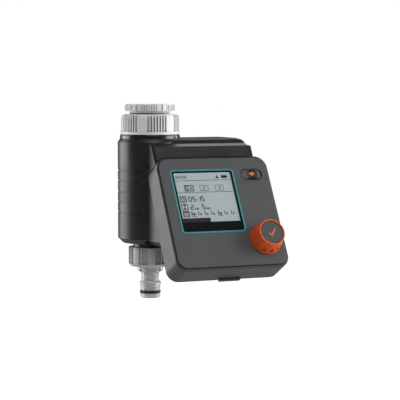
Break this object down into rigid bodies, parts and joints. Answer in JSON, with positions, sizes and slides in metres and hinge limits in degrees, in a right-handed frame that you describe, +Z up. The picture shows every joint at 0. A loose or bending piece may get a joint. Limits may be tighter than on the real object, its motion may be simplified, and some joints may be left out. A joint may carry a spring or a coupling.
{
  "type": "drip irrigation timer",
  "caption": "Tap-mounted drip irrigation timer: a solenoid valve between a union nut and a hose spigot, with a leaning removable control unit that has a display, a dial and buttons.",
  "frame": {"origin": "centre of the tap thread's mouth, on the valve's axis", "axes": "+Z up along the valve's axis towards the tap, -Y to the front that the panel faces, +X to the panel's right"},
  "size_m": [0.1098, 0.1159, 0.1552],
  "materials": {
    "dark_shell": "fine satin texture",
    "unit_shell": "satin, soft edge sheen",
    "front_grey": "fine matt texture",
    "gloss_black": "glossy moulded",
    "pale_grey": "satin moulded",
    "mid_grey": "satin moulded",
    "clear_grey": "translucent moulded",
    "rubber_black": "moulded rubber",
    "teal": "gloss",
    "window_black": "polished",
    "lcd_glass": "polished glass",
    "carrier_white": "moulded",
    "strip_rubber": "layered rubber",
    "board_green": "solder mask",
    "chip_black": "moulded",
    "steel": "plated",
    "contact_gold": "plated",
    "orange": "satin",
    "cap_grey": "fine matt texture",
    "coral": "printed inlay",
    "button_black": "glossy",
    "coil_copper": "taped winding",
    "lead_red": "insulated",
    "cell": "printed sleeve, no print",
    "white_nylon": "moulded"
  },
  "bodies": {
    "valve_unit": {"valve_housing": "dark_shell", "rear_cover": "dark_shell", "cover_screws": "steel", "inlet_collar": "gloss_black", "valve_body": "dark_shell", "inlet_filter": "white_nylon", "inlet_washer": "rubber_black", "outlet_seal": "rubber_black", "diaphragm": "rubber_black", "bonnet": "gloss_black", "bonnet_screws": "steel", "solenoid_coil": "coil_copper", "solenoid_frame": "steel", "solenoid_leads": "lead_red", "contact_block": "chip_black", "battery_box": "chip_black", "battery": "cell", "battery_contacts": "contact_gold", "piston_spring": "steel", "plunger_spring": "steel"},
    "piston": {"valve_piston": "white_nylon"},
    "plunger": {"plunger": "steel"},
    "union_nut": {"union_nut": "pale_grey"},
    "tap_washer": {"tap_washer": "rubber_black"},
    "adapter": {"inlet_adapter": "pale_grey"},
    "connector_gasket": {"connector_gasket": "rubber_black"},
    "hose_connector": {"connector_nut": "mid_grey", "connector_spigot": "clear_grey", "spigot_oring": "rubber_black"},
    "control_unit": {"control_shell": "unit_shell", "control_back": "chip_black", "control_seal": "rubber_black", "control_screws": "steel", "contact_pins": "contact_gold", "front_plate": "front_grey", "display_frame": "teal", "display_window": "window_black", "lcd_panel": "lcd_glass", "lcd_carrier": "carrier_white", "lcd_strips": "strip_rubber", "main_board": "board_green", "board_parts": "chip_black", "touch_switches": "steel", "encoder_body": "chip_black", "button_surround": "rubber_black", "ok_spring": "steel", "button_spring": "steel", "latch_spring": "steel"},
    "dial": {"dial_ring": "orange", "dial_hub": "white_nylon"},
    "ok_cap": {"ok_cap": "cap_grey", "ok_tick": "coral"},
    "manual_button": {"manual_button": "button_black", "button_symbol": "coral"},
    "release_latch": {"release_latch": "unit_shell"}
  },
  "joints": [
    {"name": "union_nut_turn", "type": "hinge", "parent": "valve_unit", "child": "union_nut", "pos_m": [0, 0, -0.016], "axis": [0, 0, 1], "continuous": true},
    {"name": "tap_washer_lift", "type": "slide", "parent": "union_nut", "child": "tap_washer", "axis": [0, 0, 1], "range_m": [0, 0.00694]},
    {"name": "adapter_unscrew", "type": "hinge", "parent": "tap_washer", "child": "adapter", "pos_m": [0, 0, -0.006], "axis": [0, 0, 1], "range_deg": [0, 1080]},
    {"name": "gasket_drop", "type": "slide", "parent": "valve_unit", "child": "connector_gasket", "axis": [0, 0, -1], "range_m": [0, 0.00999]},
    {"name": "connector_unscrew", "type": "hinge", "parent": "connector_gasket", "child": "hose_connector", "pos_m": [0, 0, -0.122], "axis": [0, 0, -1], "range_deg": [0, 1980]},
    {"name": "control_unit_pull", "type": "slide", "parent": "valve_unit", "child": "control_unit", "axis": [0, -0.8746, 0.4848], "range_m": [0, 0.03]},
    {"name": "dial_turn", "type": "hinge", "parent": "control_unit", "child": "dial", "pos_m": [0.0668, -0.07859, -0.10128], "axis": [0, -0.8746, 0.4848], "continuous": true},
    {"name": "ok_press", "type": "slide", "parent": "control_unit", "child": "ok_cap", "axis": [0, 0.8746, -0.4848], "range_m": [0, 0.0008], "stiffness_N_per_m": 600, "springref_m": -0.002, "deforming": ["ok_spring"]},
    {"name": "manual_press", "type": "slide", "parent": "control_unit", "child": "manual_button", "axis": [0, 0.8746, -0.4848], "range_m": [0, 0.0008], "stiffness_N_per_m": 500, "springref_m": -0.002, "deforming": ["button_spring"]},
    {"name": "latch_press", "type": "slide", "parent": "control_unit", "child": "release_latch", "axis": [0, 0.4461, 0.895], "range_m": [0, 0.0016], "stiffness_N_per_m": 400, "springref_m": -0.002, "deforming": ["latch_spring"]},
    {"name": "plunger_pull", "type": "slide", "parent": "valve_unit", "child": "plunger", "axis": [1, 0, 0], "range_m": [0, 0.0018], "stiffness_N_per_m": 300, "springref_m": -0.002, "deforming": ["plunger_spring"]},
    {"name": "piston_lift", "type": "slide", "parent": "valve_unit", "child": "piston", "axis": [1, 0, 0], "range_m": [0, 0.0025], "stiffness_N_per_m": 300, "springref_m": -0.002, "deforming": ["piston_spring"]}
  ],
  "couplings": [
    {"joint": "tap_washer_lift", "follows": "adapter_unscrew", "m_per_rad": 0.00036749},
    {"joint": "gasket_drop", "follows": "connector_unscrew", "m_per_rad": 0.00028875}
  ]
}
